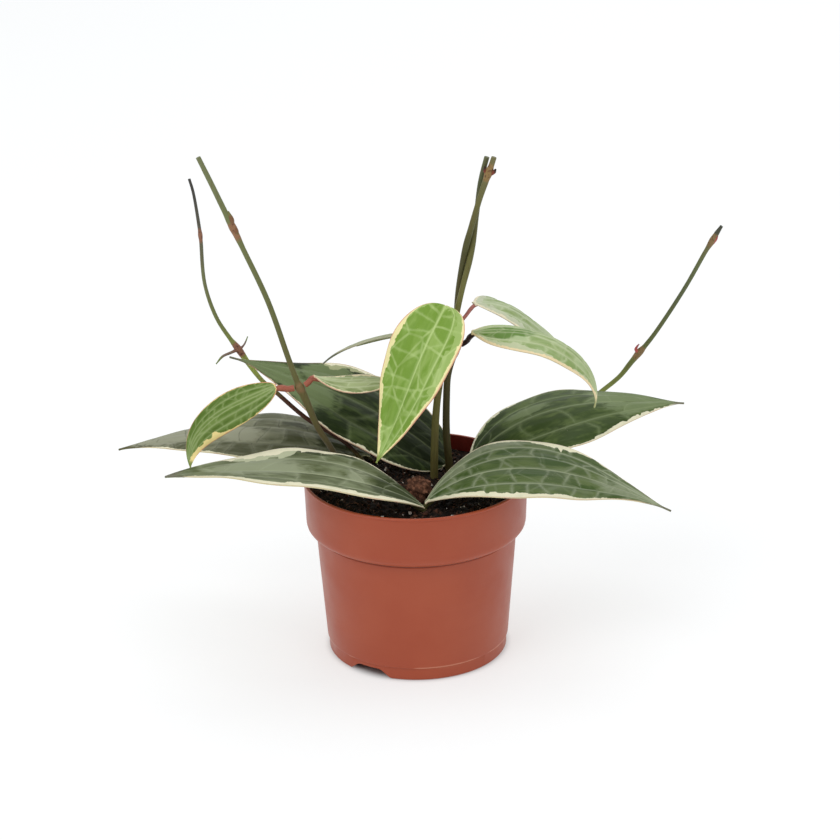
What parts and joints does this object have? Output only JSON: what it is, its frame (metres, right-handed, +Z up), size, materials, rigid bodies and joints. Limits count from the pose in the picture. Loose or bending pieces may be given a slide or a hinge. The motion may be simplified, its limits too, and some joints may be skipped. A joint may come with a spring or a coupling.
{
  "type": "potted hoya plant",
  "caption": "Young trailing houseplant with long pointed, cream-edged leaves and bare climbing stems in a round, tapered plastic nursery pot filled with soil.",
  "frame": {"origin": "centre of the plan of the whole plant's box, on the surface that the pot stands on; the pot's own axis is 2.5 mm to -X and 7.7 mm to -Y of it", "axes": "+Z up along the pot's axis, -Y towards the viewer of the front, X along the spread of the leaves"},
  "size_m": [0.3324, 0.138, 0.2771],
  "materials": {
    "plastic": "satin terracotta plastic",
    "soil": "moist peat potting soil with perlite specks",
    "peat": "brown peat",
    "old_leaf": "satin grey-green leaf with cream margins",
    "dark_leaf": "satin dark green leaf with cream margins",
    "young_leaf": "satin bright green leaf with cream margins",
    "pale_leaf": "satin pale sage leaf with cream margins",
    "olive_stem": "smooth olive stem",
    "dark_stem": "smooth dark stem",
    "lime_stem": "smooth yellow-green stem"
  },
  "bodies": {
    "root": {"pot": "plastic", "potting_soil": "soil", "peat_plug": "peat", "stem_left": "olive_stem", "stem_back_left": "lime_stem", "stem_centre_front": "olive_stem", "stem_centre_back": "dark_stem", "stem_right": "lime_stem", "leaf_front_left": "old_leaf", "leaf_front_right": "old_leaf", "leaf_back_right": "old_leaf", "leaf_back_left": "dark_leaf", "leaf_far_left": "old_leaf", "leaf_hanging_left": "young_leaf", "leaf_short_middle": "pale_leaf", "leaf_centre": "young_leaf", "leaf_upper_right": "pale_leaf", "leaf_lower_right": "pale_leaf", "leaf_narrow_left": "young_leaf"}
  },
  "joints": []
}
